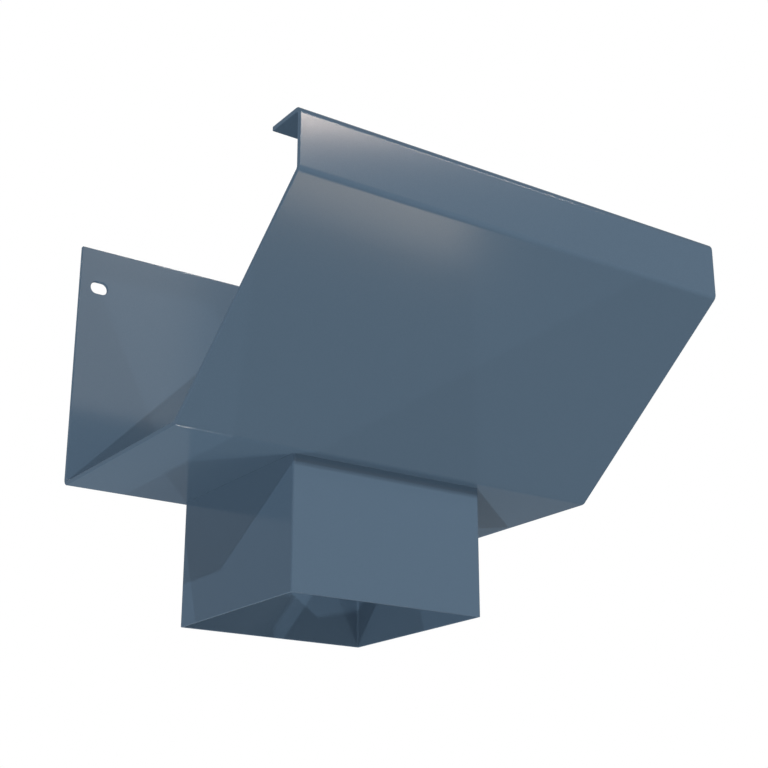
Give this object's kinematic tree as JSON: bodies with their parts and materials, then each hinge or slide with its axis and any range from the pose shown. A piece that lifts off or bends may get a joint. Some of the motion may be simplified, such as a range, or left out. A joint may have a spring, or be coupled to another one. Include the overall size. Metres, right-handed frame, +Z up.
{
  "type": "rainwater outlet",
  "caption": "Running outlet for a box gutter with a sloping front: a folded sheet section with a returned lip, fixing slots in its back and a square spigot through its sole.",
  "frame": {"origin": "centre of the spigot's lower rim, on the axis of the downpipe", "axes": "+X along the gutter, +Y square to the back towards the fascia, +Z up"},
  "size_m": [0.22, 0.206, 0.1815],
  "materials": {
    "powder_coat": "satin"
  },
  "bodies": {
    "root": {"gutter_section": "powder_coat", "outlet_spigot": "powder_coat"}
  },
  "joints": []
}
